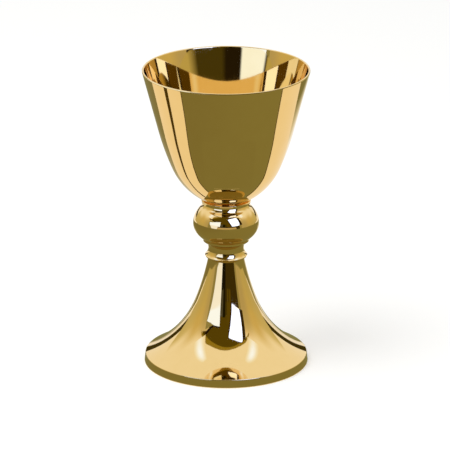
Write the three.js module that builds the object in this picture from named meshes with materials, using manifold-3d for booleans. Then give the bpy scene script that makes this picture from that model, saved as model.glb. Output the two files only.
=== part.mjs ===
// A chalice: a gilt brass cup on a stem of spun and turned pieces, threaded on one central rod
// and clamped by a nut inside the foot. Millimetres, +Z up, origin on the table under the axis.
import * as THREE from 'three';
import { mergeVertices } from 'three/addons/utils/BufferGeometryUtils.js';
import Module from 'manifold-3d';

// Foot: a spun trumpet that runs out into a low, slightly flared band
const footHeight = 65.6;
const footThroatRadius = 10.9;
const footEdgeRadius = 49.0;
const footBottomRadius = 49.6;
const footBandHeight = 5.0;
const footEdgeRounding = 0.6;
const footTopAngle = 11.5;      // slope from vertical where the trumpet starts, in degrees
const footWaistAngle = 20.7;    // where its long slow curve meets the quicker one
const footEdgeAngle = 62.4;     // where it meets the band
const footWall = 1.2;

// Ring soldered inside the lower edge of the foot
const footRingWidth = 3.4;
const footRingHeight = 3.0;
const footRingChamfer = 0.6;

// Neck under the knop: a hollow waist between a flange at the top and a sharp ring at the bottom
const neckHeight = 13.0;
const neckFlangeRadius = 13.9;
const neckFlangeEdge = 1.2;
const neckFlangeChamfer = 0.6;
const neckWaistRadius = 10.8;
const neckWaistHeight = 6.6;
const neckTipRadius = 12.8;
const neckTipUnderRadius = 12.45;
const neckTipHeight = 1.2;
const neckTipEdge = 0.8;

// Knop: a flattened ball in two shells, cut flat where the neck and the collar meet it
const knopRadius = 19.9;
const knopUpperPole = 15.9;     // height of the upper half before it is cut
const knopLowerPole = 13.3;     // and of the lower half
const knopBottomRadius = 14.5;
const knopWall = 1.0;
const sleeveRadius = 5.0;

// Collar under the bowl: a hollow flare that carries the knop's curve up to an overhanging lip
const collarHeight = 4.77;
const collarBaseRadius = 15.3;
const collarFlareRadius = 6.4;  // of the flare's hollow curve
const collarNeckRadius = 13.6;  // where the flare goes in under the lip
const collarLipHeight = 2.0;
const collarLipUnderRadius = 14.7;
const collarLipRadius = 14.95;

// Bowl: straight leaning sides, then three arcs of falling radius down to a small flat
const rimRadius = 50.0;
const bowlHeight = 81.7;
const bowlSideAngle = 14.65;    // slope from vertical of the straight side, in degrees
const bowlShoulderRadius = 168;
const bowlShoulderAngle = 23.2; // where the slow curve meets the round belly
const bowlBellyAngle = 60;      // where the belly meets the quick curve round the flat
const bowlBottomRadius = 14.6;
const bowlFlatRadius = 7.9;
const bowlWall = 1.2;
const bowlSink = 0.7;           // how far the flat lies below the collar's lip

// Rod, boss, plate and fasteners, with an M6 thread of 1 mm pitch
const rodRadius = 3.0;
const rodChamfer = 0.5;
const rodBelowNut = 3.0;
const bossRadius = 6.8;
const clampPlateRadius = 9.0;
const clampPlateThickness = 2.0;
const washerRadius = 6.0;
const washerThickness = 1.6;
const lockWasherRadius = 5.6;
const lockWasherThickness = 1.6;
const lockWasherSplit = 1.0;
const nutAcrossFlats = 10.0;
const nutHeight = 5.0;
const nutChamfer = 0.5;

// Clearances
const boreClearance = 0.3;      // round a rod, boss or ring in its hole
const seatClearance = 0.3;      // between curved faces, one seated in the other

// Facets
const facetError = 0.05;        // how far a facet may leave the curve that it stands for
const bigSides = 48;
const midSides = 36;
const smallSides = 24;
const lipFacets = 6;            // facets in the half round of the bowl's lip

const sin = (degrees) => Math.sin(THREE.MathUtils.degToRad(degrees));
const cos = (degrees) => Math.cos(THREE.MathUtils.degToRad(degrees));
const arcSin = (ratio) => THREE.MathUtils.radToDeg(Math.asin(ratio));
const point = (radius, height) => new THREE.Vector2(radius, height);

// The angles from one slope to another on an arc of this radius, in even steps, both ends included
function slopes(from, to, radius) {
  const step = THREE.MathUtils.radToDeg(2 * Math.acos(1 - facetError / radius));
  const steps = Math.max(2, Math.ceil(Math.abs(to - from) / step));
  return Array.from({ length: steps + 1 }, (_, i) => from + ((to - from) * i) / steps);
}

// The two lengths a and b for which p[0] a + p[1] b = p[2] and q[0] a + q[1] b = q[2]
function solvePair(p, q) {
  const det = p[0] * q[1] - p[1] * q[0];
  return [(p[2] * q[1] - p[1] * q[2]) / det, (p[0] * q[2] - p[2] * q[0]) / det];
}

// Turns an outline of (radius, height) points into a solid of revolution about +Z. The outline is
// closed across the axis if it ends there, and otherwise by its own first point.
function revolve(outline, sides) {
  const walk = THREE.ShapeUtils.area(outline) > 0 ? outline : [...outline].reverse();
  const endsOnAxis = walk[0].x === 0 && walk[walk.length - 1].x === 0;
  const geometry = new THREE.LatheGeometry(endsOnAxis ? walk : [...walk, walk[0]], sides);
  return geometry.rotateX(Math.PI / 2);
}

// Heights of the joints in the stack, from the table up
const neckTop = footHeight + neckHeight;
const knopCut = (pole, radius) => pole * Math.sqrt(1 - (radius / knopRadius) ** 2);
const knopMiddle = neckTop + knopCut(knopLowerPole, knopBottomRadius);
const knopTop = knopMiddle + knopCut(knopUpperPole, collarBaseRadius);
const collarTop = knopTop + collarHeight;
const bowlBottom = collarTop - bowlSink;
const rimHeight = bowlBottom + bowlHeight;
const footUnder = footHeight - footWall;
const clampPlateUnder = footUnder - clampPlateThickness;
const washerUnder = clampPlateUnder - washerThickness;
const lockWasherUnder = washerUnder - lockWasherThickness;
const nutUnder = lockWasherUnder - nutHeight;
const rodBottom = nutUnder - rodBelowNut;
const rodBore = rodRadius + boreClearance;

// Bowl: one face of its wall, inset from the outside, from the lip down to the axis
function bowlFace(inset) {
  const lip = point(rimRadius - bowlWall / 2, rimHeight - bowlWall / 2);
  const outerTop = lip.clone().add(point(cos(bowlSideAngle), -sin(bowlSideAngle)).multiplyScalar(bowlWall / 2));
  const [sideLength, bellyRadius] = solvePair(
    [
      sin(bowlSideAngle),
      cos(bowlShoulderAngle) - cos(bowlBellyAngle),
      outerTop.x - bowlFlatRadius - bowlBottomRadius * cos(bowlBellyAngle)
        - bowlShoulderRadius * (cos(bowlSideAngle) - cos(bowlShoulderAngle)),
    ],
    [
      cos(bowlSideAngle),
      sin(bowlBellyAngle) - sin(bowlShoulderAngle),
      outerTop.y - bowlBottom - bowlBottomRadius * (1 - sin(bowlBellyAngle))
        - bowlShoulderRadius * (sin(bowlShoulderAngle) - sin(bowlSideAngle)),
    ],
  );
  const flatCentre = point(bowlFlatRadius, bowlBottom + bowlBottomRadius);
  const bellyCentre = flatCentre.clone().add(
    point(cos(bowlBellyAngle), -sin(bowlBellyAngle)).multiplyScalar(bowlBottomRadius - bellyRadius),
  );
  const shoulderCentre = bellyCentre.clone().add(
    point(cos(bowlShoulderAngle), -sin(bowlShoulderAngle)).multiplyScalar(bellyRadius - bowlShoulderRadius),
  );
  const arc = (centre, radius, from, to) => slopes(from, to, radius).map(
    (angle) => point(centre.x + (radius - inset) * cos(angle), centre.y - (radius - inset) * sin(angle)),
  );
  const shoulder = arc(shoulderCentre, bowlShoulderRadius, bowlSideAngle, bowlShoulderAngle);
  const top = shoulder[0].clone().add(point(sin(bowlSideAngle), cos(bowlSideAngle)).multiplyScalar(sideLength));
  return [
    top,
    ...shoulder,
    ...arc(bellyCentre, bellyRadius, bowlShoulderAngle, bowlBellyAngle).slice(1),
    ...arc(flatCentre, bowlBottomRadius, bowlBellyAngle, 90).slice(1),
    point(0, bowlBottom + inset),
  ];
}

function bowl() {
  const outside = bowlFace(0);
  const inside = bowlFace(bowlWall);
  const lip = outside[0].clone().add(inside[0]).multiplyScalar(0.5);
  const halfRound = Array.from({ length: lipFacets }, (_, i) => {
    const angle = (180 * i) / lipFacets;
    return point(lip.x + (bowlWall / 2) * cos(angle), lip.y + (bowlWall / 2) * sin(angle));
  });
  return revolve([...outside.reverse(), ...halfRound, ...inside], bigSides);
}

// The radius of the hollow arc from a waist, where it stands upright, to a wider point
function hollowRadius(waist, end) {
  const across = end.x - waist.x;
  return (across ** 2 + (end.y - waist.y) ** 2) / (2 * across);
}

// A hollow arc of this radius in the outside of a piece, from its lower end to its upper end
function hollow(low, high, radius) {
  const lean = THREE.MathUtils.radToDeg(Math.atan2(low.x - high.x, high.y - low.y));
  const half = arcSin(low.distanceTo(high) / 2 / radius);
  const spoke = (angle) => point(cos(angle), sin(angle)).multiplyScalar(radius);
  const centre = low.clone().add(spoke(lean + half));
  return slopes(lean + half, lean - half, radius).map((angle) => centre.clone().sub(spoke(angle)));
}

// Collar: its seat follows the bowl's lowest curve
function collar() {
  const lipUnder = collarTop - collarLipHeight;
  const seatRadius = bowlBottomRadius + seatClearance;
  const seatCentreHeight = bowlBottom + bowlBottomRadius;
  const seatTopAngle = arcSin((seatCentreHeight - collarTop) / seatRadius);
  const seat = slopes(seatTopAngle, 90, seatRadius).map(
    (angle) => point(bowlFlatRadius + seatRadius * cos(angle), seatCentreHeight - seatRadius * sin(angle)),
  );
  const bore = bossRadius + boreClearance;
  return revolve([
    ...hollow(point(collarBaseRadius, knopTop), point(collarNeckRadius, lipUnder), collarFlareRadius),
    point(collarLipUnderRadius, lipUnder),
    point(collarLipRadius, collarTop),
    ...seat,
    point(bore, bowlBottom - seatClearance),
    point(bore, knopTop),
  ], midSides);
}

// Knop: one half shell, from its widest line to the flat plate that the rod passes through
function knopShell(pole, cutRadius, up) {
  const edge = knopCut(pole, cutRadius);
  const ellipse = (inset, height) => slopes(0, arcSin(height / (pole - inset)), knopRadius).map(
    (angle) => point((knopRadius - inset) * cos(angle), knopMiddle + up * (pole - inset) * sin(angle)),
  );
  return revolve([
    ...ellipse(0, edge),
    point(rodBore, knopMiddle + up * edge),
    point(rodBore, knopMiddle + up * (edge - knopWall)),
    ...ellipse(knopWall, edge - knopWall).reverse(),
  ], midSides);
}

// Neck: the spool between foot and knop, with its ring undercut down to the foot's throat
function neck() {
  const ringUnder = footHeight + neckTipHeight;
  const tip = point(neckTipRadius, ringUnder + neckTipEdge);
  const waist = point(neckWaistRadius, footHeight + neckWaistHeight);
  const flangeTop = neckTop - neckFlangeChamfer;
  const flange = point(neckFlangeRadius, flangeTop - neckFlangeEdge);
  return revolve([
    point(rodBore, footHeight),
    point(footThroatRadius, footHeight),
    point(neckTipUnderRadius, ringUnder),
    ...hollow(tip, waist, hollowRadius(waist, tip)),
    ...hollow(waist, flange, hollowRadius(waist, flange)).slice(1),
    point(neckFlangeRadius, flangeTop),
    point(neckFlangeRadius - neckFlangeChamfer, neckTop),
    point(rodBore, neckTop),
  ], midSides);
}

// Foot's edge: where the trumpet's curve ends at the rounding, and the inner corner under it
const bandAngle = THREE.MathUtils.radToDeg(Math.atan2(footBottomRadius - footEdgeRadius, footBandHeight));
const edgeTurn = (footEdgeAngle - bandAngle) / 2;
const edgeTangent = footEdgeRounding * Math.tan(THREE.MathUtils.degToRad(edgeTurn));
const edgeStart = point(
  footEdgeRadius - edgeTangent * sin(footEdgeAngle),
  footBandHeight + edgeTangent * cos(footEdgeAngle),
);
const innerEdge = edgeStart.clone().sub(point(cos(footEdgeAngle), sin(footEdgeAngle)).multiplyScalar(footWall));

// Foot: the trumpet's two arcs on both faces of the wall, the rounded edge and the band
function foot() {
  const [stemRadius, flareRadius] = solvePair(
    [
      cos(footTopAngle) - cos(footWaistAngle),
      cos(footWaistAngle) - cos(footEdgeAngle),
      edgeStart.x - footThroatRadius,
    ],
    [
      sin(footWaistAngle) - sin(footTopAngle),
      sin(footEdgeAngle) - sin(footWaistAngle),
      footHeight - edgeStart.y,
    ],
  );
  const stemCentre = point(
    footThroatRadius + stemRadius * cos(footTopAngle),
    footHeight + stemRadius * sin(footTopAngle),
  );
  const flareCentre = point(
    edgeStart.x + flareRadius * cos(footEdgeAngle),
    edgeStart.y + flareRadius * sin(footEdgeAngle),
  );
  const arc = (centre, radius, from, to) => slopes(from, to, radius).map(
    (angle) => point(centre.x - radius * cos(angle), centre.y - radius * sin(angle)),
  );
  const edgeCentre = point(
    edgeStart.x - footEdgeRounding * cos(footEdgeAngle),
    edgeStart.y - footEdgeRounding * sin(footEdgeAngle),
  );
  const edge = [2 / 3, 1 / 3, 0].map((share) => {
    const angle = bandAngle + 2 * edgeTurn * share;
    return point(edgeCentre.x + footEdgeRounding * cos(angle), edgeCentre.y + footEdgeRounding * sin(angle));
  });
  const plateAngle = arcSin((stemCentre.y - footUnder) / (stemRadius + footWall));
  return revolve([
    point(rodBore, footHeight),
    ...arc(stemCentre, stemRadius, footTopAngle, footWaistAngle),
    ...arc(flareCentre, flareRadius, footWaistAngle, footEdgeAngle).slice(1),
    ...edge,
    point(footBottomRadius, 0),
    point(footBottomRadius - footWall, 0),
    ...arc(flareCentre, flareRadius + footWall, footWaistAngle, footEdgeAngle).reverse(),
    ...arc(stemCentre, stemRadius + footWall, plateAngle, footWaistAngle).reverse().slice(1),
    point(rodBore, footUnder),
  ], bigSides);
}

// Ring inside the foot's edge, flush with the table. It leans with the band's inner face, and its
// free upper corner is chamfered.
function footRing() {
  const bandInside = point(footBottomRadius - footWall, 0);
  const outer = (height) => bandInside.clone().lerp(innerEdge, height / innerEdge.y).x - boreClearance;
  const inner = (height) => outer(height) - footRingWidth;
  const chamferFoot = footRingHeight - footRingChamfer;
  return revolve([
    point(inner(0), 0),
    point(outer(0), 0),
    point(outer(footRingHeight), footRingHeight),
    point(inner(footRingHeight) + footRingChamfer, footRingHeight),
    point(inner(chamferFoot), chamferFoot),
  ], bigSides);
}

// A plain round piece with the rod's bore
function disc(radius, bottom, top) {
  return revolve([
    point(rodBore, bottom),
    point(radius, bottom),
    point(radius, top),
    point(rodBore, top),
  ], smallSides);
}

function rod() {
  const top = bowlBottom - seatClearance;
  return revolve([
    point(0, rodBottom),
    point(rodRadius - rodChamfer, rodBottom),
    point(rodRadius, rodBottom + rodChamfer),
    point(rodRadius, top - rodChamfer),
    point(rodRadius - rodChamfer, top),
    point(0, top),
  ], smallSides);
}

// Spring washer: a flat ring with a split
function lockWasher() {
  const gapAt = (radius) => Math.asin(lockWasherSplit / 2 / radius);
  const shape = new THREE.Shape();
  shape.absarc(0, 0, lockWasherRadius, gapAt(lockWasherRadius), 2 * Math.PI - gapAt(lockWasherRadius), false);
  shape.absarc(0, 0, rodBore, 2 * Math.PI - gapAt(rodBore), gapAt(rodBore), true);
  return new THREE.ExtrudeGeometry(shape, {
    depth: lockWasherThickness,
    bevelEnabled: false,
    curveSegments: smallSides,
  }).translate(0, 0, lockWasherUnder);
}

// manifold-3d joins and cuts closed meshes that share their vertices
const wasm = await Module();
wasm.setup();

function toSolid(geometry) {
  const bare = new THREE.BufferGeometry();
  bare.setAttribute('position', geometry.toNonIndexed().getAttribute('position'));
  const merged = mergeVertices(bare, 1e-4);
  return new wasm.Manifold(new wasm.Mesh({
    numProp: 3,
    vertProperties: merged.getAttribute('position').array,
    triVerts: new Uint32Array(merged.index.array),
  }));
}

function toGeometry(solid) {
  const mesh = solid.getMesh();
  const geometry = new THREE.BufferGeometry();
  geometry.setAttribute('position', new THREE.BufferAttribute(mesh.vertProperties, 3));
  geometry.setIndex(new THREE.BufferAttribute(mesh.triVerts, 1));
  return geometry;
}

// Nut: a hexagonal prism whose corners a turned cone takes off at both ends
function nut() {
  const cornerRadius = nutAcrossFlats / Math.sqrt(3);
  const prism = new THREE.CylinderGeometry(cornerRadius, cornerRadius, nutHeight, 6)
    .rotateX(Math.PI / 2)
    .translate(0, 0, nutUnder + nutHeight / 2);
  const top = nutUnder + nutHeight;
  const turned = revolve([
    point(rodBore, nutUnder),
    point(cornerRadius - nutChamfer, nutUnder),
    point(cornerRadius + nutChamfer, nutUnder + nutChamfer),
    point(cornerRadius + nutChamfer, top - nutChamfer),
    point(cornerRadius - nutChamfer, top),
    point(rodBore, top),
  ], smallSides);
  return toGeometry(toSolid(prism).intersect(toSolid(turned)));
}

// Finishes
const gilt = { color: 0xe3bd72, roughness: 0.06, metalness: 1 };
const brass = { color: 0xb9974f, roughness: 0.35, metalness: 1 };
const steel = { color: 0x9b9b98, roughness: 0.35, metalness: 1 };

const chalice = new THREE.Group();
function add(name, geometry, finish) {
  const mesh = new THREE.Mesh(geometry, new THREE.MeshStandardMaterial(finish));
  mesh.name = name;
  chalice.add(mesh);
}

add('bowl', bowl(), gilt);
add('bowl_boss', disc(bossRadius, knopTop, bowlBottom), brass);
add('bowl_collar', collar(), gilt);
add('knop_upper_half', knopShell(knopUpperPole, collarBaseRadius, 1), gilt);
add('knop_lower_half', knopShell(knopLowerPole, knopBottomRadius, -1), gilt);
add('knop_sleeve', disc(sleeveRadius, neckTop + knopWall, knopTop - knopWall), brass);
add('neck_ring', neck(), gilt);
add('foot', foot(), gilt);
add('foot_ring', footRing(), gilt);
add('tie_rod', rod(), steel);
add('clamp_plate', disc(clampPlateRadius, clampPlateUnder, footUnder), brass);
add('plain_washer', disc(washerRadius, washerUnder, clampPlateUnder), steel);
add('lock_washer', lockWasher(), steel);
add('hex_nut', nut(), steel);

export default chalice;
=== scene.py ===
"""A gilt brass chalice, photographed in a light tent with a dark opening in front for the lens.

Sizes are in millimetres, as on a drawing, and MM turns them into Blender's metres. An outline is
a list of (radius, height) points that goes anticlockwise round the metal of a turned piece.
"""

import math

import bpy
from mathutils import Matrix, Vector


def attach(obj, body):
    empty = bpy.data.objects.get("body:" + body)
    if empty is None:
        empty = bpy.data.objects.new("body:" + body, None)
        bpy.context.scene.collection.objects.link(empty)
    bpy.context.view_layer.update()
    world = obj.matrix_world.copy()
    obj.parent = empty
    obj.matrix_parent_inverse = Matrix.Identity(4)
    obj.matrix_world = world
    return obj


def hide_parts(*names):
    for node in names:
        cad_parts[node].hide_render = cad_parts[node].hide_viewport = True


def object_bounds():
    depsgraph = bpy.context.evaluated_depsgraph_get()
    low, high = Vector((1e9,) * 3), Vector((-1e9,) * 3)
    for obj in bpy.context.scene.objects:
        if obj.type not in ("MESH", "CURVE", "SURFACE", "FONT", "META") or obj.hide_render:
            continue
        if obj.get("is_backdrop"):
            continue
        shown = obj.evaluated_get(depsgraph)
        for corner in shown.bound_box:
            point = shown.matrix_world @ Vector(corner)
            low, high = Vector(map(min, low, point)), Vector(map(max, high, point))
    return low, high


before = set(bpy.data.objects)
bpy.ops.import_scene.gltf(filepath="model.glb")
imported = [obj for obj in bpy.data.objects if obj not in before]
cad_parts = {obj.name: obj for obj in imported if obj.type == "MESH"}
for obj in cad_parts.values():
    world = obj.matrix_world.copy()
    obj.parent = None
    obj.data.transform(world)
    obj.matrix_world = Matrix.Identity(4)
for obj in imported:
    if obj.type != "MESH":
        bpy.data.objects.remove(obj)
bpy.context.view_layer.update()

MM = 0.001
MICRON = 0.000001
SEAM = 0.002           # vertices that are closer together than this are merged
ROUND = 256            # facets round the big turned pieces
ROUND_SMALL = 144      # facets round the small ones
ARC_STEP = 2.0         # most degrees of an arc for each of its facets
ARC_LENGTH = 1.2       # most millimetres of an arc for each of its facets
SHARP = math.radians(25)

# Heights of the joints in the stack
FOOT_TOP = 65.6
NECK_TOP = 78.6
KNOP_MIDDLE = 87.7091
KNOP_TOP = 97.8761
COLLAR_TOP = 102.6461
BOWL_UNDER = 101.9461
CLAMP_TOP = 64.4
CLAMP_UNDER = 62.4
WASHER_UNDER = 60.8
LOCK_WASHER_UNDER = 59.2
NUT_UNDER = 54.2
ROD_UNDER = 51.2
ROD_TOP = 101.6461

# The rod's M6 thread and the pieces that it passes through
ROD_RADIUS = 3.0
THREAD_PITCH = 1.0
THREAD_DEPTH = 0.6
BORE = 3.3
THREAD_STEPS = 48      # facets round a thread

# The tent: how far its cards stand from the chalice's axis, each layer in front of the one before
TENT_HEIGHT = 80       # height that the tent's elevations are measured from
TENT_WALL = 800
TAPE_LAYER = 790
DARK_LAYER = 780
SHADE_LAYER = 775
FOLD_LAYER = 770
LAMP_LAYER = 765
TABLE_EDGE_LAYER = 760
HOT_SPOT_LAYER = 740
SIDE_LIGHT_HEIGHT = 100.5

# The camera, in metres
CAMERA_ELEVATION = math.radians(19.08)
CAMERA_DISTANCE = 2.2786
CAMERA_AIM = 0.08602   # height of the point that it looks at


# Outlines and turned pieces

def deselect():
    if bpy.context.mode != "OBJECT":
        bpy.ops.object.mode_set(mode="OBJECT")
    bpy.ops.object.select_all(action="DESELECT")


def pen(name, radius, height):
    """A new piece of one vertex, in edit mode, for an outline to be drawn from."""
    deselect()
    bpy.ops.mesh.primitive_plane_add(size=MM, location=(radius * MM, 0, height * MM))
    piece = bpy.context.object
    piece.name = name
    piece.data.name = name
    bpy.ops.object.transform_apply(location=True)
    bpy.ops.object.mode_set(mode="EDIT")
    bpy.ops.mesh.merge(type="CENTER")
    return piece


def straight(here, there):
    step = ((there[0] - here[0]) * MM, 0, (there[1] - here[1]) * MM)
    bpy.ops.mesh.extrude_region_move(TRANSFORM_OT_translate={"value": step})


def arc(here, there, radius):
    """An arc to the next point. It bends left if its radius is positive, else right."""
    across = there[0] - here[0]
    up = there[1] - here[1]
    chord = math.hypot(across, up)
    reach = math.copysign(math.sqrt(max(radius**2 - chord**2 / 4, 0)), radius)
    centre_radius = (here[0] + there[0]) / 2 - up / chord * reach
    centre_height = (here[1] + there[1]) / 2 + across / chord * reach
    angle = 2 * math.asin(min(1, chord / 2 / abs(radius)))
    steps = max(2, math.ceil(math.degrees(angle) / ARC_STEP), math.ceil(chord / ARC_LENGTH))
    bpy.ops.mesh.spin(
        steps=steps,
        angle=math.copysign(angle, radius),
        center=(centre_radius * MM, 0, centre_height * MM),
        axis=(0, 1, 0),
    )


def draw(name, points):
    """Draws an outline. A point's third number is the radius of the arc that leads to it."""
    here = points[0]
    piece = pen(name, *here[:2])
    for there in points[1:]:
        if len(there) == 3:
            arc(here, there, there[2])
        else:
            straight(here, there)
        here = there
    return piece


def close_up(piece):
    """Merges a drawn piece's seams, turns its faces outwards and shades its curves smooth."""
    bpy.ops.mesh.select_all(action="SELECT")
    bpy.ops.mesh.remove_doubles(threshold=SEAM * MM)
    bpy.ops.mesh.normals_make_consistent(inside=False)
    bpy.ops.object.mode_set(mode="OBJECT")
    bpy.ops.object.shade_smooth_by_angle(angle=SHARP)
    return piece


def turn(piece, sides=ROUND):
    """Turns the drawn outline once round the vertical axis into a closed piece."""
    bpy.ops.mesh.select_all(action="SELECT")
    bpy.ops.mesh.spin(steps=sides, angle=2 * math.pi, center=(0, 0, 0), axis=(0, 0, 1))
    return close_up(piece)


def hollow(edge, waist):
    """The radius of the arc between a spool's edge and its waist, where the arc stands upright."""
    across = edge[0] - waist[0]
    along = edge[1] - waist[1]
    return (across**2 + along**2) / (2 * across)


def oval(wide, high, middle, angles):
    """Outline points on an ellipse, at these angles above its widest line."""
    return [
        (wide * math.cos(math.radians(a)), middle + high * math.sin(math.radians(a)))
        for a in angles
    ]


def run(here, there):
    """A long straight, with short faces at its ends to keep their shading off the rest of it."""
    across = there[0] - here[0]
    up = there[1] - here[1]
    parts = (0.01, 0.08, 0.5, 0.92, 0.99, 1)
    return [(here[0] + across * part, here[1] + up * part) for part in parts]


# The chalice, from the top down

def make_bowl():
    wall = 1.2
    return turn(draw("bowl_wall", [
        (0, BOWL_UNDER),
        (7.9, BOWL_UNDER),
        (15.2, 103.9022, 14.6),
        (32.4927, 123.3794, 41.2581),
        (40.6161, 147.0721, 168),
        *run((40.6161, 147.0721), (49.9805, 182.8943)),
        (49.4, 183.6461, wall / 2),
        (48.8195, 183.1978, wall / 2),
        *run((48.8195, 183.1978), (39.4551, 147.3756)),
        (31.3898, 123.8521, -168 + wall),
        (14.6, 104.9414, -41.2581 + wall),
        (7.9, BOWL_UNDER + wall, -14.6 + wall),
        (0, BOWL_UNDER + wall),
    ]))


def make_collar():
    """A ring that hollows in under a sharp lip, which stands out over it on every side."""
    hole = 7.1
    lip = 14.95
    lip_under = COLLAR_TOP - 2.0
    soft = 0.25
    return turn(draw("collar_ring", [
        (hole, KNOP_TOP),
        (15.3, KNOP_TOP),
        (13.6, lip_under, -6.4),
        (14.7, lip_under),
        (lip - soft * 0.1, COLLAR_TOP - soft),
        (lip - soft, COLLAR_TOP, soft),
        (13.4, COLLAR_TOP),
        (13.06, COLLAR_TOP + 0.22, -0.5),
        (12.8, COLLAR_TOP - 0.25),
        (7.9, BOWL_UNDER - 0.3, -14.9),
        (hole, BOWL_UNDER - 0.3),
        (hole, KNOP_TOP),
    ]))


def make_knop_half(name, high, cut_radius, up):
    """One of the two cups that are soldered at the knop's widest line."""
    wide, wall = 19.9, 1.0
    cut_angle = math.degrees(math.acos(cut_radius / wide))
    angles = [0, 0.2, *(cut_angle * i / 36 for i in range(1, 37))]
    cut_height = high * math.sin(math.radians(cut_angle))
    inner_angle = math.degrees(math.asin((cut_height - wall) / (high - wall)))
    inner_angles = [inner_angle * i / 30 for i in range(30, -1, -1)]
    outline = [
        *oval(wide, up * high, KNOP_MIDDLE, angles),
        (BORE, KNOP_MIDDLE + up * cut_height),
        (BORE, KNOP_MIDDLE + up * (cut_height - wall)),
        *oval(wide - wall, up * (high - wall), KNOP_MIDDLE, inner_angles),
    ]
    return turn(draw(name, [*outline, outline[0]]))


def make_neck():
    """A spool with a sharp ring at its lower end and a flange under the knop."""
    tip = (12.8, 67.6)
    waist = (10.8, 72.2)
    flange = (13.9, 76.8)
    return turn(draw("neck_spool", [
        (BORE, FOOT_TOP),
        (10.9, FOOT_TOP),
        (12.45, 66.8),
        tip,
        (*waist, -hollow(tip, waist)),
        (*flange, -hollow(flange, waist)),
        (flange[0], 78.0),
        (flange[0] - 0.6, NECK_TOP),
        (BORE, NECK_TOP),
        (BORE, FOOT_TOP),
    ]))


def make_foot():
    wall = 1.2
    return turn(draw("foot_trumpet", [
        (49.6 - wall, 0),
        (49.6, 0),
        (49.0377, 4.6862),
        (48.7199, 5.1464, 0.6),
        (18.5109, 39.2316, -63.9822),
        (10.9, FOOT_TOP, -171.1048),
        (BORE, FOOT_TOP),
        (BORE, CLAMP_TOP),
        (9.9224, CLAMP_TOP),
        (17.3883, 38.8074, 171.1048 + wall),
        (48.164, 4.083, 63.9822 + wall),
        (49.6 - wall, 0),
    ]))


def make_foot_ring():
    return turn(draw("foot_stiffening_ring", [
        (44.7, 0),
        (48.1, 0),
        (47.9266, 3.0),
        (45.1266, 3.0),
        (44.5613, 2.4),
        (44.7, 0),
    ]))


def make_disc(name, radius, bottom, top, soft):
    """A turned disc with the rod's bore, its outer corners broken."""
    return turn(draw(name, [
        (BORE, bottom),
        (radius - soft, bottom),
        (radius, bottom + soft, soft),
        (radius, top - soft),
        (radius - soft, top, soft),
        (BORE, top),
        (BORE, bottom),
    ]), ROUND_SMALL)


# Fasteners inside the foot

def make_thread(name, outset):
    """A bar of right-hand thread, set out from the rod's by this much, longer at both ends."""
    crest = ROD_RADIUS + outset
    root = crest - THREAD_DEPTH
    flank = 0.3 * THREAD_PITCH
    beyond = 0.3
    start = ROD_UNDER - 2 * THREAD_PITCH
    turns = math.ceil((ROD_TOP - ROD_UNDER) / THREAD_PITCH) + 4
    piece = draw(name, [
        (root, start),
        (root, start + 0.24 * THREAD_PITCH),
        (crest, start + 0.24 * THREAD_PITCH + flank),
        (crest, start + 0.40 * THREAD_PITCH + flank),
        (root, start + THREAD_PITCH),
    ])
    bpy.ops.object.mode_set(mode="OBJECT")
    bpy.ops.object.modifier_add(type="SCREW")
    screw = piece.modifiers[-1]
    screw.steps = THREAD_STEPS
    screw.render_steps = THREAD_STEPS
    screw.angle = 2 * math.pi
    screw.screw_offset = THREAD_PITCH * MM
    screw.iterations = turns
    bpy.ops.object.modifier_apply(modifier=screw.name)
    bpy.ops.object.mode_set(mode="EDIT")
    bpy.ops.mesh.select_all(action="SELECT")
    bpy.ops.mesh.remove_doubles(threshold=SEAM * MM)
    for height, up in ((ROD_UNDER - beyond, -1), (ROD_TOP + beyond, 1)):
        bpy.ops.mesh.select_all(action="SELECT")
        bpy.ops.mesh.bisect(
            plane_co=(0, 0, height * MM),
            plane_no=(0, 0, up),
            use_fill=True,
            clear_outer=True,
        )
    bpy.ops.mesh.select_all(action="SELECT")
    bpy.ops.mesh.normals_make_consistent(inside=False)
    bpy.ops.object.mode_set(mode="OBJECT")
    return piece


def cut(piece, tool, how):
    """Keeps what two closed pieces share, or takes the tool's shape out of the piece."""
    deselect()
    bpy.context.view_layer.objects.active = piece
    piece.select_set(True)
    bpy.ops.object.modifier_add(type="BOOLEAN")
    boolean = piece.modifiers[-1]
    boolean.operation = how
    boolean.solver = "EXACT"
    boolean.object = tool
    bpy.ops.object.modifier_apply(modifier=boolean.name)
    bpy.data.objects.remove(tool)
    bpy.ops.object.shade_smooth_by_angle(angle=SHARP)
    return piece


def make_rod():
    soft = 0.5
    wide = ROD_RADIUS + 0.1
    envelope = turn(draw("rod_envelope", [
        (0, ROD_UNDER),
        (wide - soft, ROD_UNDER),
        (wide, ROD_UNDER + soft),
        (wide, ROD_TOP - soft),
        (wide - soft, ROD_TOP),
        (0, ROD_TOP),
    ]), THREAD_STEPS)
    return cut(make_thread("rod_with_thread", -0.02), envelope, "INTERSECT")


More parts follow.
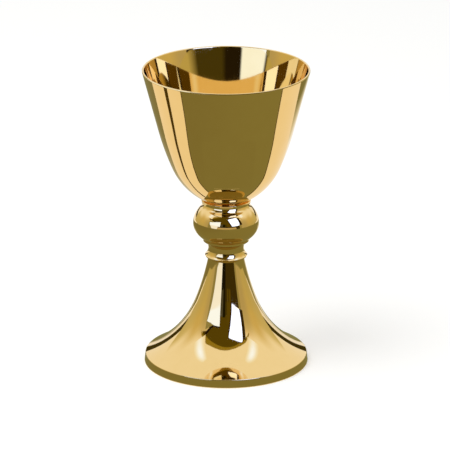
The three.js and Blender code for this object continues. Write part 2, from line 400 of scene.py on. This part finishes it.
def make_nut():
    """A hexagonal nut: both ends turned to a cone at the corners, and a countersunk thread."""
    across_flats = 10.0
    corner = across_flats / 2 / math.cos(math.radians(30))
    height = 5.0
    cone = 0.5
    mouth = ROD_RADIUS + 0.3
    reach = 0.2
    top = NUT_UNDER + height
    deselect()
    bpy.ops.mesh.primitive_cylinder_add(
        vertices=6,
        radius=corner * MM,
        depth=height * MM,
        location=(0, 0, (NUT_UNDER + height / 2) * MM),
    )
    nut = bpy.context.object
    nut.name = "nut_with_thread"
    bpy.ops.object.transform_apply(location=True)
    turned = turn(draw("nut_turning", [
        (0, NUT_UNDER),
        (corner - cone, NUT_UNDER),
        (corner + cone, NUT_UNDER + cone),
        (corner + cone, top - cone),
        (corner - cone, top),
        (0, top),
    ]), ROUND_SMALL)
    cut(nut, turned, "INTERSECT")
    cut(nut, make_thread("nut_tap", 0.06), "DIFFERENCE")
    for face, up in ((NUT_UNDER, -1), (top, 1)):
        cone_tool = turn(draw("nut_countersink", [
            (0, face - up * mouth),
            (mouth + reach, face + up * reach),
            (0, face + up * reach),
        ]), ROUND_SMALL)
        cut(nut, cone_tool, "DIFFERENCE")
    return nut


def make_lock_washer():
    """A spring washer: a square wire coiled once, with its split left open."""
    thick = 1.6
    wide = 5.6
    soft = 0.15
    top = LOCK_WASHER_UNDER + thick
    split_degrees = 12.5
    washer = draw("lock_washer_coil", [
        (BORE + soft, LOCK_WASHER_UNDER),
        (wide - soft, LOCK_WASHER_UNDER),
        (wide, LOCK_WASHER_UNDER + soft, soft),
        (wide, top - soft),
        (wide - soft, top, soft),
        (BORE + soft, top),
        (BORE, top - soft, soft),
        (BORE, LOCK_WASHER_UNDER + soft),
        (BORE + soft, LOCK_WASHER_UNDER, soft),
    ])
    bpy.ops.mesh.select_all(action="SELECT")
    bpy.ops.mesh.remove_doubles(threshold=SEAM * MM)
    bpy.ops.mesh.edge_face_add()
    bpy.ops.mesh.spin(
        steps=ROUND_SMALL,
        angle=math.radians(360 - split_degrees),
        center=(0, 0, 0),
        axis=(0, 0, -1),
    )
    close_up(washer)
    washer.rotation_euler.z = math.radians(split_degrees / 2)
    deselect()
    washer.select_set(True)
    bpy.ops.object.transform_apply(rotation=True)
    return washer


# Finishes

def tint(hex_colour):
    """An sRGB hex colour as linear red, green, blue and alpha."""
    parts = [int(hex_colour[i : i + 2], 16) / 255 for i in (1, 3, 5)]
    return (*(c / 12.92 if c <= 0.04045 else ((c + 0.055) / 1.055) ** 2.4 for c in parts), 1)


def add(tree, kind, inputs=None, **settings):
    """Adds a node. Its inputs are given as values or as the sockets that lead to them."""
    made = tree.nodes.new(kind)
    for name, value in settings.items():
        setattr(made, name, value)
    for name, value in (inputs or {}).items():
        socket = made.inputs[name]
        if isinstance(value, bpy.types.NodeSocket):
            tree.links.new(value, socket)
        else:
            socket.default_value = value
    return made


def new_material(name):
    material = bpy.data.materials.new(name)
    material.use_nodes = True
    material.node_tree.nodes.clear()
    return material, material.node_tree


def output(tree, surface, above_only=False):
    """Ends a material. One for above only is clear to what looks at it from below."""
    if above_only:
        clear = add(tree, "ShaderNodeBsdfTransparent")
        under = add(tree, "ShaderNodeNewGeometry").outputs["Backfacing"]
        surface = add(tree, "ShaderNodeMixShader", {
            0: under,
            1: surface.outputs[0],
            2: clear.outputs[0],
        })
    add(tree, "ShaderNodeOutputMaterial", {"Surface": surface.outputs[0]})


def metal(name, light, dark, smooth, rough, mark, mark_depth, wave_depth):
    """A metal turned or spun about the vertical axis.

    light and dark are the ends of its colour, smooth and rough those of its roughness, mark is the
    width of its tool or polishing marks in millimetres, mark_depth their depth and wave_depth the
    depth of the slow waves that spinning leaves, both in micrometres.
    """
    wave = 22   # length of the slow waves
    cloud = 9   # size of the faint clouds in its colour and roughness
    material, tree = new_material(name)
    place = add(tree, "ShaderNodeTexCoord").outputs["Object"]
    split = add(tree, "ShaderNodeSeparateXYZ", {0: place})
    flat = add(tree, "ShaderNodeCombineXYZ", {"X": split.outputs["X"], "Y": split.outputs["Y"]})
    radius = add(tree, "ShaderNodeVectorMath", {0: flat.outputs[0]}, operation="LENGTH")
    turned = add(tree, "ShaderNodeCombineXYZ", {
        "X": radius.outputs["Value"],
        "Y": split.outputs["Z"],
    })
    marks = add(tree, "ShaderNodeTexNoise", {
        "Vector": turned.outputs[0],
        "Scale": 1 / (mark * MM),
        "Detail": 3.0,
        "Roughness": 0.6,
    }, noise_dimensions="2D")
    waves = add(tree, "ShaderNodeTexNoise", {
        "Vector": place,
        "Scale": 1 / (wave * MM),
        "Detail": 1.0,
    })
    clouds = add(tree, "ShaderNodeTexNoise", {
        "Vector": place,
        "Scale": 1 / (cloud * MM),
        "Detail": 4.0,
        "Roughness": 0.65,
    })
    colour = add(tree, "ShaderNodeMix", {
        "Factor": clouds.outputs["Fac"],
        "A": tint(light),
        "B": tint(dark),
    }, data_type="RGBA")
    blend = add(tree, "ShaderNodeMath", {
        0: clouds.outputs["Fac"],
        1: marks.outputs["Fac"],
    }, operation="MULTIPLY")
    roughness = add(tree, "ShaderNodeMapRange", {
        "Value": blend.outputs[0],
        "From Min": 0.12,
        "From Max": 0.45,
        "To Min": smooth,
        "To Max": rough,
    })
    slow = add(tree, "ShaderNodeBump", {
        "Strength": 1.0,
        "Distance": wave_depth * MICRON,
        "Height": waves.outputs["Fac"],
    })
    fine = add(tree, "ShaderNodeBump", {
        "Strength": 1.0,
        "Distance": mark_depth * MICRON,
        "Height": marks.outputs["Fac"],
        "Normal": slow.outputs[0],
    })
    surface = add(tree, "ShaderNodeBsdfPrincipled", {
        "Base Color": colour.outputs["Result"],
        "Metallic": 1.0,
        "Roughness": roughness.outputs["Result"],
        "Normal": fine.outputs[0],
    })
    output(tree, surface)
    return material


# Gold plate over spun brass, buffed on a mop to a mirror: clean reflections, hardly a mark.
gilt_mirror = metal("gilt_mirror", "#F0D192", "#EBCA88", 0.03, 0.06, 0.5, 0.02, 6.0)
# The same plate over metal left as it came off the spinning tool: satin, with fine rings.
gilt_satin = metal("gilt_satin", "#E6C27C", "#D3AA63", 0.22, 0.36, 0.4, 1.2, 20.0)
# Free-cutting brass as turned, unpolished and a little dull.
turned_brass = metal("turned_brass", "#C9A765", "#A98748", 0.28, 0.42, 0.3, 2.0, 4.0)
# Mild steel with a bright zinc plate.
zinc_plate = metal("zinc_plate", "#C4C6C8", "#9FA2A6", 0.25, 0.45, 0.6, 1.5, 6.0)


def dress(piece, body, slot, finish, *nodes):
    """Gives a finished piece its metal, hangs it on the body that it rides on and hides the model's
    parts that it takes the place of.
    """
    piece.data.materials.clear()
    piece.data.materials.append(finish)
    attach(piece, body)
    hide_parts(*nodes)


dress(make_bowl(), "cup_and_stem", "gilt", gilt_mirror, "bowl")
dress(make_collar(), "cup_and_stem", "gilt", gilt_mirror, "bowl_collar")
dress(
    make_knop_half("knop_upper_cup", 15.9, 15.3, 1),
    "cup_and_stem", "gilt", gilt_mirror, "knop_upper_half",
)
dress(
    make_knop_half("knop_lower_cup", 13.3, 14.5, -1),
    "cup_and_stem", "gilt", gilt_mirror, "knop_lower_half",
)
dress(make_neck(), "cup_and_stem", "gilt", gilt_mirror, "neck_ring")
dress(make_foot(), "cup_and_stem", "gilt", gilt_mirror, "foot")
dress(make_foot_ring(), "cup_and_stem", "gilt_inside", gilt_satin, "foot_ring")
dress(make_rod(), "cup_and_stem", "zinc_steel", zinc_plate, "tie_rod")
dress(
    make_disc("clamp_disc", 9.0, CLAMP_UNDER, CLAMP_TOP, 0.3),
    "cup_and_stem", "raw_brass", turned_brass, "clamp_plate",
)
dress(
    make_disc("flat_washer", 6.0, WASHER_UNDER, CLAMP_UNDER, 0.2),
    "washers", "zinc_steel", zinc_plate, "plain_washer",
)
dress(make_lock_washer(), "washers", "zinc_steel", zinc_plate, "lock_washer")
dress(make_nut(), "nut", "zinc_steel", zinc_plate, "hex_nut")
for hidden in ("bowl_boss", "knop_sleeve"):
    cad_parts[hidden].data.materials.clear()
    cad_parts[hidden].data.materials.append(turned_brass)


# The tent round the chalice. Azimuth 0 faces the lens and grows to the right. Elevations are seen
# from the middle of the stem.

def card_material(name):
    """A material for a card, which lights nothing and only shows in the metal."""
    material, tree = new_material(name)
    material.cycles.emission_sampling = "NONE"
    return material, tree


def glow(name, colour, strength=1.0, above_only=False):
    """A plain card that gives off this colour evenly."""
    material, tree = card_material(name)
    light = add(tree, "ShaderNodeEmission", {"Color": tint(colour), "Strength": strength})
    output(tree, light, above_only)
    return material


def colours(tree, value, stops):
    """Runs a value through stops, each with a colour."""
    first, last = stops[0][0], stops[-1][0]
    along = add(tree, "ShaderNodeMapRange", {"Value": value, "From Min": first, "From Max": last})
    ramp = add(tree, "ShaderNodeValToRGB", {"Fac": along.outputs["Result"]})
    elements = ramp.color_ramp.elements
    while len(elements) < len(stops):
        elements.new(0.5)
    for element, (where, _) in zip(elements, stops):
        element.position = (where - first) / (last - first)
    # Moving the stops sorts them anew, so they are coloured afterwards.
    for element, (_, colour) in zip(elements, stops):
        element.color = tint(colour)
    return ramp.outputs["Color"]


def azimuth_of(tree, split):
    """The azimuth of a place, in radians."""
    front = add(tree, "ShaderNodeMath", {0: split.outputs["Y"], 1: -1.0}, operation="MULTIPLY")
    angle = {0: split.outputs["X"], 1: front.outputs[0]}
    return add(tree, "ShaderNodeMath", angle, operation="ARCTAN2").outputs[0]


def fade(name, axis, stops, strength=1.0, above_only=False):
    """A card whose colour runs through stops, along an axis in millimetres or by azimuth."""
    material, tree = card_material(name)
    place = add(tree, "ShaderNodeTexCoord").outputs["Object"]
    split = add(tree, "ShaderNodeSeparateXYZ", {0: place})
    if axis == "azimuth":
        colour = colours(tree, azimuth_of(tree, split), [(math.radians(a), c) for a, c in stops])
    else:
        colour = colours(tree, split.outputs[axis], [(where * MM, c) for where, c in stops])
    light = add(tree, "ShaderNodeEmission", {"Color": colour, "Strength": strength})
    output(tree, light, above_only)
    return material


def mirrored_only(card, material):
    """Gives a card its material and lets it show in the metal and nowhere else."""
    card.data.materials.clear()
    card.data.materials.append(material)
    card.visible_camera = False
    card.visible_diffuse = False
    card.visible_transmission = False
    card.visible_shadow = False
    card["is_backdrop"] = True


def face_up(card):
    """Turns a card over if its face looks down."""
    if card.data.polygons[0].normal.z < 0:
        bpy.ops.object.mode_set(mode="EDIT")
        bpy.ops.mesh.select_all(action="SELECT")
        bpy.ops.mesh.flip_normals()
        bpy.ops.object.mode_set(mode="OBJECT")


def blank(name):
    """A card with nothing on it yet, in edit mode."""
    deselect()
    card = bpy.data.objects.new(name, bpy.data.meshes.new(name))
    bpy.context.scene.collection.objects.link(card)
    bpy.context.view_layer.objects.active = card
    bpy.ops.object.mode_set(mode="EDIT")
    return card


def chain(corners):
    """Draws edges through corners given as (x, y, z)."""
    bpy.ops.mesh.select_all(action="DESELECT")
    bpy.ops.mesh.primitive_plane_add(size=MM, location=[c * MM for c in corners[0]])
    bpy.ops.mesh.merge(type="CENTER")
    for here, there in zip(corners, corners[1:]):
        step = [(b - a) * MM for a, b in zip(here, there)]
        bpy.ops.mesh.extrude_region_move(TRANSFORM_OT_translate={"value": step})


def up_in_tent(azimuth, elevation, distance):
    """A place this far out from the chalice's axis."""
    a = math.radians(azimuth)
    rise = math.tan(math.radians(elevation))
    return (distance * math.sin(a), -distance * math.cos(a), TENT_HEIGHT + distance * rise)


def hang(name, distance, material, columns):
    """A standing card between two edges, given in columns of azimuth, low and high elevation."""
    card = blank(name)
    chain([up_in_tent(a, low, distance) for a, low, _ in columns])
    chain([up_in_tent(a, high, distance) for a, _, high in columns])
    bpy.ops.mesh.select_all(action="SELECT")
    bpy.ops.mesh.bridge_edge_loops()
    bpy.ops.object.mode_set(mode="OBJECT")
    mirrored_only(card, material)


def spread(from_azimuth, to_azimuth, most=8):
    """Azimuths from one to the other, at most so many degrees apart."""
    steps = math.ceil((to_azimuth - from_azimuth) / most)
    return [from_azimuth + (to_azimuth - from_azimuth) * i / steps for i in range(steps + 1)]


def wall(name, distance, material, from_azimuth, to_azimuth, low, high):
    """A standing card with level edges."""
    hang(name, distance, material, [(a, low, high) for a in spread(from_azimuth, to_azimuth)])


def lean(name, material, from_azimuth, to_azimuth, low, high, sink=(0, 0)):
    """A leaning card with its face up, between two edges, each a distance and a height.

    Its high edge comes in and sinks by this much towards its ends.
    """
    card = blank(name)
    for distance, height, (inward, down) in ((*low, (0, 0)), (*high, sink)):
        corners = []
        for azimuth in spread(from_azimuth, to_azimuth, 5):
            share = (abs(azimuth) / max(-from_azimuth, to_azimuth)) ** 3
            out = distance - inward * share
            a = math.radians(azimuth)
            corners.append((out * math.sin(a), -out * math.cos(a), height - down * share))
        chain(corners)
    bpy.ops.mesh.select_all(action="SELECT")
    bpy.ops.mesh.bridge_edge_loops()
    bpy.ops.object.mode_set(mode="OBJECT")
    face_up(card)
    mirrored_only(card, material)


def lay(name, height, material, corners):
    """A level card through corners given as (x, y), with its face up."""
    card = blank(name)
    chain([(x, y, height) for x, y in corners])
    bpy.ops.mesh.select_all(action="SELECT")
    bpy.ops.mesh.edge_face_add()
    bpy.ops.object.mode_set(mode="OBJECT")
    face_up(card)
    mirrored_only(card, material)


def heights(stops):
    """Turns stops at elevations on the tent's wall into stops at heights, in metres."""
    return [(up_in_tent(0, elevation, TENT_WALL)[2] * MM, colour) for elevation, colour in stops]


# Walls of white cloth: white above, and khaki low down, where the light that the table throws up
# onto them is painted in. The colours change slowly from the front over the sides to the rear.
cloth, tree = card_material("tent_wall_cloth")
place = add(tree, "ShaderNodeTexCoord").outputs["Object"]
split = add(tree, "ShaderNodeSeparateXYZ", {0: place})
front_cloth = colours(tree, split.outputs["Z"], heights([
    (-4, "#BDB488"), (12, "#C0B58C"), (24, "#C6BC94"), (32, "#D6CBA6"), (36, "#EADDC0"),
    (41, "#FFFFFF"),
]))
side_cloth = colours(tree, split.outputs["Z"], heights([
    (-4, "#C4BC86"), (12, "#D5C588"), (22, "#DACA92"), (28, "#E3D7AC"), (33, "#F3EDDA"),
    (38, "#FFFFFF"),
]))
rear_cloth = colours(tree, split.outputs["Z"], heights([
    (-4, "#C9C090"), (5, "#D0C795"), (12, "#D5CC9C"), (16, "#DDD6AE"), (20, "#F4F0E0"),
    (24, "#FFFFFF"),
]))
round_about = add(tree, "ShaderNodeMath", {0: azimuth_of(tree, split)}, operation="ABSOLUTE")
blend = front_cloth
for nearer, further, next_cloth in ((68, 92, side_cloth), (98, 126, rear_cloth)):
    share = add(tree, "ShaderNodeMapRange", {
        "Value": round_about.outputs[0],
        "From Min": math.radians(nearer),
        "From Max": math.radians(further),
    }, interpolation_type="SMOOTHSTEP")
    blend = add(tree, "ShaderNodeMix", {
        "Factor": share.outputs["Result"],
        "A": blend,
        "B": next_cloth,
    }, data_type="RGBA").outputs["Result"]
output(tree, add(tree, "ShaderNodeEmission", {"Color": blend}))
wall("wall_left", TENT_WALL, cloth, -137, -50, -25, 42)
wall("wall_right", TENT_WALL, cloth, 50, 137, -25, 42)
wall("backdrop_white", TENT_WALL, glow("backdrop_paper", "#FFFFFF"), 137, 223, 6.5, 40)
wall("backdrop_foot", TENT_WALL, glow("backdrop_shade", "#403910"), 137, 223, -1.5, 6.5)

# The opening for the lens: dark inside, with an edge of khaki tape
hang("opening_tape", TAPE_LAYER, glow("opening_khaki_tape", "#97852A"), [
    (-77, 31, 31.5), (-75, 33, 36), (-70, 36.8, 42.5), (-60, 41, 50.3), (-50, 47.6, 54.6),
    (-40, 52.3, 58.6), (-30, 55.8, 61.6), (-20, 58.3, 63.7), (-10, 60, 64.7), (0, 60.6, 65),
    (10, 60.4, 64.4), (20, 59.2, 62.8), (30, 56.8, 60.9), (40, 52.8, 57.6), (50, 50, 53.6),
    (60, 43, 48.3), (66, 38.5, 42), (70, 35, 37.3),
])
hang("opening_upper", DARK_LAYER, glow("opening_dark", "#5A4D0D"), [
    (-73, 33, 34), (-70, 33.5, 37.2), (-60, 35.5, 41.5), (-50, 31.5, 48), (-46, 30, 50),
    (-40, 30, 52.6), (-30, 30, 56.2), (-20, 25, 58.7), (-10, 25, 60.4), (0, 25, 61), (10, 25, 60.8),
    (20, 25, 59.6), (30, 30, 57.2), (40, 30, 53.4), (50, 30, 50.6), (57, 30, 45),
])
hang("opening_fold", FOLD_LAYER, glow("opening_fold_shade", "#261A0C"), [
    (-67, 36.2, 37), (-60, 34.8, 39.4), (-55, 33.6, 37.8), (-50, 32.6, 35.8),
    (-40, 32.5, 34.4), (-30, 34.5, 36.8), (-21, 35.5, 37.6),
])
hang("opening_edge", FOLD_LAYER, glow("opening_edge_shade", "#382510"), [
    (7, 42, 47), (10, 35, 45), (14, 25, 36), (17, 15, 30), (22, 15, 20),
])
for name, colour, start, end, low, high in (
    ("left", "#98966C", -66, -21, 0, 33),
    ("grey", "#55554F", -22, -12, 11, 26),
    ("black", "#211E07", -12, -3, 11, 27),
    ("brown", "#4A4110", -3, 3, 11, 25),
    ("khaki", "#5E500E", 3, 19, 11, 34),
    ("low_left", "#1A170B", -22, -3, 0, 11),
    ("low_right", "#3F3510", -3, 48, 0, 15.5),
    ("right", "#362B0F", 48, 59.5, 15.5, 46),
    ("right_low", "#A19C6D", 48, 56, 0, 15.5),
):
    shade = glow(f"opening_{name}_shade", colour)
    wall(f"opening_{name}", SHADE_LAYER, shade, start, end, low, high)

# Two lamps behind white cloth, on either side of the lens. Their light is bluish.
left_lamp = fade("softbox_left_cloth", "Z", [
    (80, "#A0ACD1"), (285, "#A3B0D8"), (315, "#A6BDFD"), (620, "#A6BDFD"),
], 3.0)
hang("softbox_left", LAMP_LAYER, left_lamp, [
    (-64, 24.6, 25), (-61, 19, 26), (-59, 14.5, 26.7), (-55, 9.5, 27.8), (-52, 2, 28.7),
    (-50, 1, 29.3), (-40, 1, 33), (-30, 1, 35), (-21.5, 1, 36.2),
])
hang("softbox_right", LAMP_LAYER, glow("softbox_right_cloth", "#8FA8FF", 5.5), [
    (8.5, 48.8, 49.2), (10, 44, 49.8), (16.3, 30, 50.6), (20, 20, 50.9), (21.5, 15.5, 51),
    (30, 15.3, 51.2), (40, 15.6, 51.2), (48, 16.3, 50.6), (50, 24, 49.8), (50.6, 34, 48),
])

# The same front as the inside of the cup sees it, over its own rim: khaki cloth at both ends, the
# left lamp, and the dark opening, which turns olive to the right
cloth_khaki, dark, lamp_white, olive = "#80794F", "#140F05", "#B1C3ED", "#2C270A"
inside_view = fade("front_seen_from_cup", "azimuth", [
    (-86, cloth_khaki), (-82, dark), (-77, lamp_white), (-32, lamp_white), (-28, dark), (0, dark),
    (9, olive), (58, olive), (78, cloth_khaki),
], 2.6, above_only=True)
lean("front_seen_from_cup", inside_view, -100, 100, (56, 183.3), (71.8, 210.7), sink=(14.8, 25.7))

# The table: khaki, with a pale backdrop sheet hanging down onto it behind
khaki_across = [(-300, "#837F52"), (150, "#8A8858")]
khaki = fade("table_khaki", "X", khaki_across)
lay("table", 0.3, khaki, [(-1500, -1500), (1500, -1500), (1500, 340), (-1500, 340)])
sheet_left = fade("backdrop_sheet_left", "X", [(-130, "#837F52"), (-50, "#E8E6D8")])
sheet_right = fade("backdrop_sheet_right", "X", [(90, "#F4F2E8"), (200, "#868455")])
lay("backdrop_sheet_left", 0.5, sheet_left, [(-130, 130), (10, 130), (10, 340), (-130, 340)])
lay("backdrop_sheet_right", 0.5, sheet_right, [(10, 110), (200, 200), (200, 340), (10, 340)])
hang("table_front", TABLE_EDGE_LAYER, khaki, [
    (-112, -8, -6.5), (-100, -8, -4.2), (-87, -8, -2), (-72, -8, -1), (-58, -8, 0), (-30, -8, 0.6),
    (0, -8, 0.8), (30, -8, 0.6), (58, -8, 0), (72, -8, -1), (87, -8, -2), (100, -8, -4.2),
    (112, -8, -6.5),
])

# A pale strip with a dark line over it, low in front of the knop. A cover hides them from the cup.
# The knop mirrors them as a painted glint along its front, with a painted shade line beside it.
knop_glint_paint = glow("knop_painted_glint", "#C5B795", above_only=True)
line_shade = glow("low_line_shade", "#151208", above_only=True)
lean("knop_glint_strip", knop_glint_paint, -24, 27, (36, 89.9), (45.5, 95.2))
lean("low_line", line_shade, -24, 27, (45.5, 95.2), (51.5, 98.6))
cover = fade("low_cover_khaki", "X", khaki_across, above_only=True)
lean("low_cover", cover, -35, 45, (34, 100.9), (90, 101))

# Side lights: pale cloth on either side of the cup, level with its underside. Only the cup, which
# looks down on them, mirrors them. The left one has a gap along it, and both have a dark seam.
pale = glow("side_light_cloth", "#FFF6E6", above_only=True)
seam = glow("side_light_seam", "#4D3F10", above_only=True)
right_front = [
    (15.5, -14.5), (48, -14.5), (80, -19), (110, -23), (140, -26), (192, -33), (260, -42),
]
left_front = [
    (-15.5, -23), (-32, -28.5), (-48, -33.5), (-61, -39), (-82, -49), (-100, -58), (-118, -65),
    (-140, -72), (-260, -112),
]
gap_front = [
    (-15.5, -14.6), (-40, -14.3), (-52, -13.5), (-73, -14.6), (-115, -15.5), (-150, -16),
    (-260, -19),
]
gap_back = [
    (-15.5, -13), (-40, -12.2), (-52, -9.5), (-73, -8), (-100, -6), (-125, -3), (-150, 1),
    (-260, 14),
]
left_back = [
    (-15.5, -6), (-19, -4), (-32, 2.5), (-52.5, 19), (-73, 30), (-94, 44), (-115, 57), (-144, 75),
    (-161, 86), (-192, 94), (-260, 113),
]
right_back = [(15.5, 5), (32, 60), (85, 60), (110, 74), (160, 91), (200, 100), (260, 113)]


def set_forward(edge, near, far):
    """An edge moved towards the lens, by near at its inner end and by far at its outer end."""
    inner, outer = abs(edge[0][0]), abs(edge[-1][0])
    return [(x, y - near - (far - near) * (abs(x) - inner) / (outer - inner)) for x, y in edge]


under_light = SIDE_LIGHT_HEIGHT - 0.2
lay("side_light_right", SIDE_LIGHT_HEIGHT, pale, right_front + right_back[::-1])
right_seam = set_forward(right_front, 1.2, 5) + right_front[::-1]
lay("side_light_right_seam", under_light, seam, right_seam)
lay("side_light_left_1", SIDE_LIGHT_HEIGHT, pale, left_front + gap_front[::-1])
lay("side_light_left_2", SIDE_LIGHT_HEIGHT, pale, gap_back + left_back[::-1])
lay("side_light_left_gap", under_light, seam, gap_front + gap_back[::-1])
lay("side_light_left_seam", under_light, seam, set_forward(left_front, 1, 5) + left_front[::-1])
sheet_high = fade("backdrop_sheet_high", "X", [
    (-260, "#86845E"), (-95, "#8A8862"), (-50, "#A9A78C"), (-20, "#DAD8CC"), (40, "#FFFFFF"),
    (75, "#FFFFFF"), (100, "#D8D4BC"), (128, "#868455"), (260, "#7E7A4C"),
], above_only=True)
lay("backdrop_sheet_high", SIDE_LIGHT_HEIGHT - 0.4, sheet_high, [
    (-260, 20), (-15.5, -8), (15.5, 3), (32, 40), (260, 40), (260, 330), (-260, 330),
])

# Two hot spots where lamps shine through the tent's roof. They are five times as tall as they are
# wide and fade into its white.
for side, azimuth, elevation in (("left", -78, 55), ("right", 79, 57)):
    middle = up_in_tent(azimuth, elevation, HOT_SPOT_LAYER)
    cloth, tree = card_material(f"roof_hot_cloth_{side}")
    place = add(tree, "ShaderNodeTexCoord").outputs["Object"]
    from_middle = {0: place, 1: [c * MM for c in middle]}
    off = add(tree, "ShaderNodeVectorMath", from_middle, operation="SUBTRACT")
    squat = {0: off.outputs[0], 1: (1, 1, 1 / 5)}
    off = add(tree, "ShaderNodeVectorMath", squat, operation="MULTIPLY")
    off = add(tree, "ShaderNodeVectorMath", {0: off.outputs[0]}, operation="LENGTH")
    heat = colours(tree, off.outputs["Value"], [
        (0, "#A6BDFD"), (60 * MM, "#A4B6EA"), (120 * MM, "#A0A9BE"), (185 * MM, "#9C9C9C"),
    ])
    output(tree, add(tree, "ShaderNodeEmission", {"Color": heat, "Strength": 3.0}))
    wall(
        f"hot_spot_{side}", HOT_SPOT_LAYER, cloth,
        azimuth - 15, azimuth + 15, elevation - 16, elevation + 12,
    )


def seen_plainly(tree):
    """One for the lens and for what metal and glass show, else nought."""
    rays = add(tree, "ShaderNodeLightPath").outputs
    direct = {0: rays["Is Camera Ray"], 1: rays["Is Glossy Ray"]}
    seen = add(tree, "ShaderNodeMath", direct, operation="ADD")
    through = {0: seen.outputs[0], 1: rays["Is Transmission Ray"]}
    return add(tree, "ShaderNodeMath", through, operation="ADD").outputs[0]


# Floor: pale and matt, white to the lens, with the chalice's own soft shadow on it. Seen from
# below it is clear, so that the inside of the foot can be looked at. It lies a hair below the
# foot, so that the two flat faces don't mix.
floor_height = -0.05 * MM
deselect()
bpy.ops.mesh.primitive_circle_add(
    vertices=128,
    radius=4,
    fill_type="NGON",
    location=(0, 0, floor_height),
)
floor = bpy.context.object
floor.name = "floor"
bpy.ops.object.mode_set(mode="EDIT")
bpy.ops.mesh.select_all(action="SELECT")
bpy.ops.mesh.inset(thickness=2.5)
bpy.ops.object.mode_set(mode="OBJECT")
floor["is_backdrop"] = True
floor_paint, tree = new_material("pale_matt_floor")
matt = add(tree, "ShaderNodeBsdfDiffuse", {"Color": tint("#E4E4E2")})
lift = add(tree, "ShaderNodeEmission", {"Color": tint("#FFFFFF"), "Strength": 0.3})
nothing = add(tree, "ShaderNodeEmission", {"Strength": 0.0})
extra = add(tree, "ShaderNodeMixShader", {
    0: seen_plainly(tree),
    1: nothing.outputs[0],
    2: lift.outputs[0],
})
paint = add(tree, "ShaderNodeAddShader", {0: matt.outputs[0], 1: extra.outputs[0]})
output(tree, paint, above_only=True)
floor.data.materials.append(floor_paint)

# World: soft light from all round for matt things, and plain white for the lens and the metal
world = bpy.data.worlds.new("white_tent")
bpy.context.scene.world = world
world.use_nodes = True
tree = world.node_tree
tree.nodes.clear()
soft = add(tree, "ShaderNodeBackground", {"Color": tint("#FFFFFF"), "Strength": 0.7})
white = add(tree, "ShaderNodeBackground", {"Color": tint("#FFFFFF"), "Strength": 1.0})
mixed = add(tree, "ShaderNodeMixShader", {
    0: seen_plainly(tree),
    1: soft.outputs[0],
    2: white.outputs[0],
})
add(tree, "ShaderNodeOutputWorld", {"Surface": mixed.outputs[0]})

# One large soft lamp overhead gives the floor its shadow
bpy.ops.object.light_add(type="AREA", location=(-0.5, -0.3, 1.3))
lamp = bpy.context.object
lamp.data.shape = "DISK"
lamp.data.size = 0.9
lamp.data.energy = 9
lamp.visible_glossy = False
lamp.rotation_mode = "QUATERNION"
lamp.rotation_quaternion = Vector((-0.5, -0.3, 1.2)).to_track_quat("Z", "Y")

# Camera: a long lens, 2.3 m away and 19 degrees above the table
camera = bpy.data.objects.new("camera", bpy.data.cameras.new("camera"))
bpy.context.scene.collection.objects.link(camera)
bpy.context.scene.camera = camera
aim = Vector((0, 0, CAMERA_AIM))
back = Vector((0, -math.cos(CAMERA_ELEVATION), math.sin(CAMERA_ELEVATION)))
camera.location = aim + back * CAMERA_DISTANCE
camera.rotation_mode = "QUATERNION"
camera.rotation_quaternion = (-back).to_track_quat("-Z", "Y")
camera.data.sensor_width = 36
camera.data.lens = 303.1       # fills the frame with the chalice, as in the photograph
camera.data.shift_x = -0.0025  # the chalice stands a little right of the frame's middle
camera.data.clip_start = 0.1
camera.data.clip_end = 20

bpy.context.scene.view_settings.view_transform = "Standard"

low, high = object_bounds()
